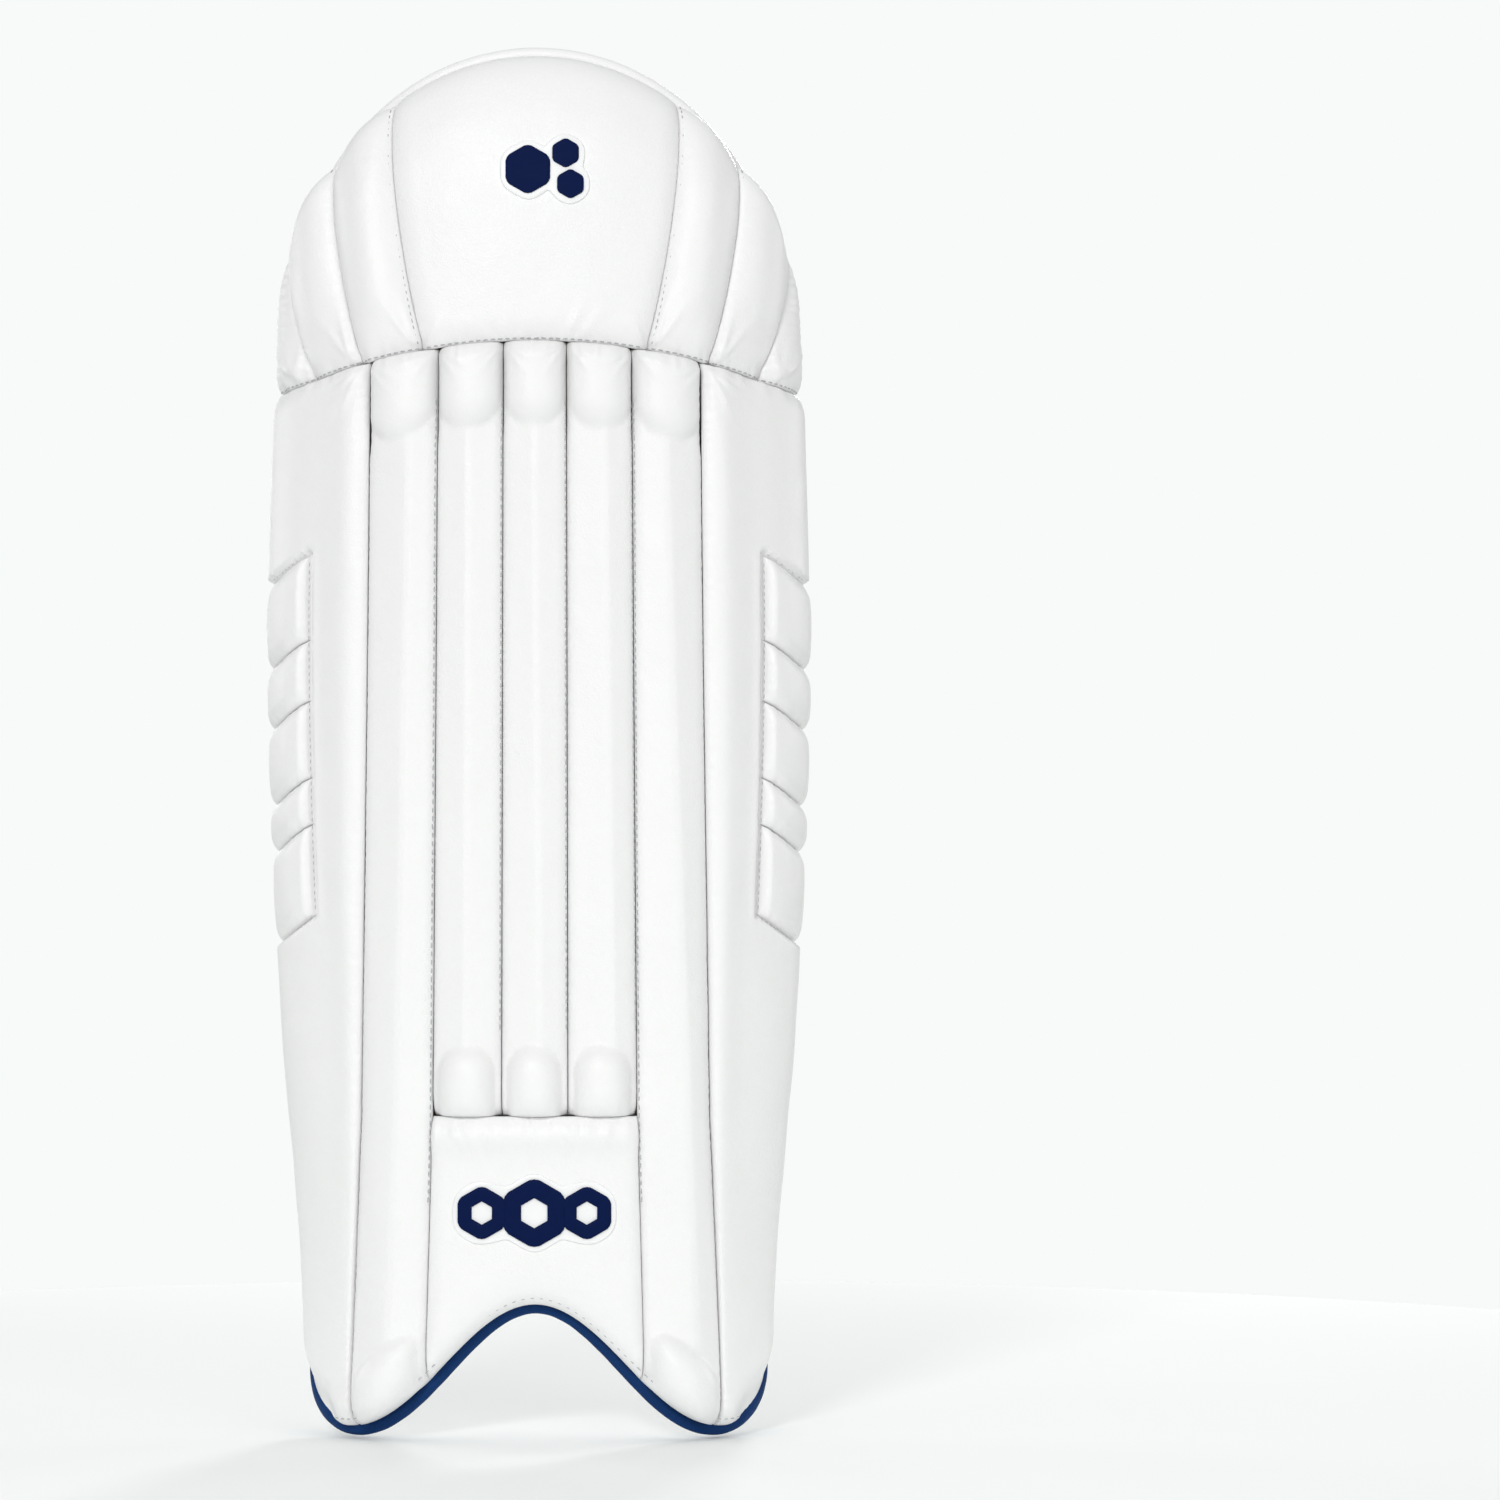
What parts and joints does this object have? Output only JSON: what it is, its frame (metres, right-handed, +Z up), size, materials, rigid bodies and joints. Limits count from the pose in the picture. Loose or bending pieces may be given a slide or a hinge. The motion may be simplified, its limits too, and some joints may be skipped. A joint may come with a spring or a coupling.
{
  "type": "cricket leg pad",
  "caption": "Curved wicket-keeping leg pad: padded sleeves over cane rods, knee flap, side wings, inner cushion and two ring straps.",
  "frame": {"origin": "on the wearer's leg line, level with the pad's lowest edge, 84 mm behind the front face", "axes": "+Z up the leg towards the knee flap, -Y out of the front face, +X towards the side that carries the strap rings"},
  "size_m": [0.2698, 0.0888, 0.6857],
  "materials": {
    "cover": "smooth synthetic leather, soft sheen",
    "white_binding": "smooth synthetic leather",
    "navy_binding": "smooth synthetic leather, navy",
    "foam": "closed-cell foam",
    "cane": "split cane, natural",
    "board": "stiff fibre-filled board",
    "lining": "cream woven lining",
    "instep_lining": "smooth white lining",
    "mesh": "white spacer mesh",
    "cushion": "cream brushed towelling",
    "shin_panel": "smooth white synthetic leather with printed shapes",
    "badge": "satin raised patch",
    "navy_mark": "raised gloss shapes",
    "anchor_web": "open-weave elastic webbing",
    "loop_tape": "loop pile tape",
    "ring": "moulded acetal",
    "webbing": "knitted elastic webbing",
    "tab": "flexible smooth tab",
    "hook_tape": "hook tape",
    "label": "rubberised label"
  },
  "bodies": {
    "pad": {"knee_face": "cover", "knee_petal_left_1": "cover", "knee_petal_left_2": "cover", "knee_petal_left_3": "cover", "knee_petal_right_1": "cover", "knee_petal_right_2": "cover", "knee_petal_right_3": "cover", "cane_sleeve_1": "cover", "cane_sleeve_2": "cover", "cane_sleeve_3": "cover", "cane_sleeve_4": "cover", "cane_sleeve_5": "cover", "side_panel_left": "cover", "side_panel_right": "cover", "wing_bolster_left": "cover", "wing_bolster_right": "cover", "instep_panel": "cover", "knee_foam": "foam", "cane_rods_1": "cane", "cane_rods_2": "cane", "cane_rods_3": "cane", "cane_rods_4": "cane", "cane_rods_5": "cane", "side_foam_left": "foam", "side_foam_right": "foam", "instep_foam": "foam", "backing_board": "board", "knee_back_panel": "cover", "back_lining": "lining", "mesh_lining_left": "mesh", "mesh_lining_right": "mesh", "instep_lining": "instep_lining", "bolster_left": "cushion", "bolster_right": "cushion", "shin_cushion": "shin_panel", "foot_binding": "navy_binding", "top_binding": "white_binding", "knee_welt": "white_binding", "knee_badge": "badge", "knee_badge_mark": "navy_mark", "instep_badge": "badge", "instep_badge_mark": "navy_mark", "calf_anchor_web": "anchor_web", "ankle_anchor_web": "anchor_web", "calf_landing_tape": "loop_tape", "ankle_landing_tape": "loop_tape"},
    "calf_ring": {"calf_ring": "ring"},
    "calf_strap": {"calf_strap_web": "webbing"},
    "calf_strap_tip": {"calf_strap_end": "webbing", "calf_pull_tab": "tab", "calf_hook_patch": "hook_tape", "calf_strap_label": "label"},
    "ankle_ring": {"ankle_ring": "ring"},
    "ankle_strap": {"ankle_strap_web": "webbing"},
    "ankle_strap_tip": {"ankle_strap_end": "webbing", "ankle_pull_tab": "tab", "ankle_hook_patch": "hook_tape", "ankle_strap_label": "label"}
  },
  "joints": [
    {"name": "calf_ring_swing", "type": "hinge", "parent": "pad", "child": "calf_ring", "pos_m": [0.12, -0.004, 0.393], "axis": [0, 0, -1], "range_deg": [0, 100]},
    {"name": "calf_strap_swing", "type": "hinge", "parent": "calf_ring", "child": "calf_strap", "pos_m": [0.096, -0.004, 0.393], "axis": [0, 0, -1], "range_deg": [0, 100]},
    {"name": "calf_strap_peel", "type": "hinge", "parent": "calf_strap", "child": "calf_strap_tip", "pos_m": [-0.052, -0.00275, 0.393], "axis": [0, 0, -1], "range_deg": [0, 120]},
    {"name": "ankle_ring_swing", "type": "hinge", "parent": "pad", "child": "ankle_ring", "pos_m": [0.094, -0.004, 0.177], "axis": [0, 0, -1], "range_deg": [0, 100]},
    {"name": "ankle_strap_swing", "type": "hinge", "parent": "ankle_ring", "child": "ankle_strap", "pos_m": [0.07, -0.004, 0.177], "axis": [0, 0, -1], "range_deg": [0, 100]},
    {"name": "ankle_strap_peel", "type": "hinge", "parent": "ankle_strap", "child": "ankle_strap_tip", "pos_m": [-0.052, -0.00275, 0.177], "axis": [0, 0, -1], "range_deg": [0, 120]}
  ]
}
